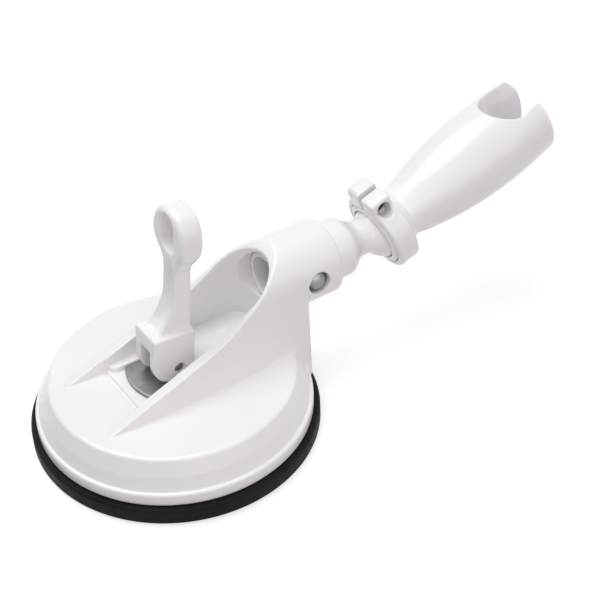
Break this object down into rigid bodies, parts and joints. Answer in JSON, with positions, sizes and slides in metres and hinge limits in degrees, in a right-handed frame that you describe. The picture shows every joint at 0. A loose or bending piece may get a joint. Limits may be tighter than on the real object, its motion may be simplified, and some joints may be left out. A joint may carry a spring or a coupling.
{
  "type": "suction cup handset holder",
  "caption": "Lever-lock suction cup with a moulded bracket and socket tube, a plug-in neck with a snap button, and a ball-jointed barrel holder with an open cradle.",
  "frame": {"origin": "centre of the pad's suction face", "axes": "+Z out of the surface that the pad is on, +X towards the socket tube and the holder"},
  "size_m": [0.2503, 0.12, 0.1073],
  "materials": {
    "white_plastic": "moulded, satin gloss",
    "rubber": "matt",
    "steel": "plain",
    "bright_steel": "bright",
    "liner_plastic": "plain"
  },
  "bodies": {
    "base": {"base_housing": "white_plastic", "suction_pad": "rubber", "wear_plate": "steel", "neck": "white_plastic", "release_spring": "steel", "button_spring": "steel"},
    "stud": {"draw_stud": "steel", "pad_plate": "steel"},
    "lever": {"lever": "white_plastic", "lever_pin": "steel"},
    "button": {"snap_button": "bright_steel"},
    "swivel": {"ball_liner": "liner_plastic"},
    "clamp": {"clamp_ring": "white_plastic", "clamp_screw": "bright_steel", "clamp_washer": "bright_steel", "clamp_nut": "bright_steel"},
    "holder": {"holder": "white_plastic"}
  },
  "joints": [
    {"name": "stud_lift", "type": "slide", "parent": "base", "child": "stud", "axis": [0, 0, 1], "range_m": [0, 0.0074], "deforming": ["release_spring"]},
    {"name": "lever_flip", "type": "hinge", "parent": "stud", "child": "lever", "pos_m": [0, 0, 0.0334], "axis": [0, -1, 0], "range_deg": [0, 96]},
    {"name": "button_press", "type": "slide", "parent": "base", "child": "button", "axis": [0, 1, 0], "range_m": [0, 0.0064], "stiffness_N_per_m": 800, "springref_m": -0.004, "deforming": ["button_spring"]},
    {"name": "holder_swivel", "type": "hinge", "parent": "base", "child": "swivel", "pos_m": [0.1073, 0, 0.0522], "axis": [1, 0, 0], "continuous": true},
    {"name": "holder_tilt", "type": "hinge", "parent": "swivel", "child": "clamp", "pos_m": [0.1073, 0, 0.0522], "axis": [0, 1, 0], "range_deg": [0, 37.6]},
    {"name": "holder_roll", "type": "hinge", "parent": "clamp", "child": "holder", "pos_m": [0.1073, 0, 0.0522], "axis": [0.9466, 0, 0.3223], "continuous": true}
  ],
  "couplings": [
    {"joint": "lever_flip", "follows": "stud_lift", "rad_per_m": 226.42}
  ]
}
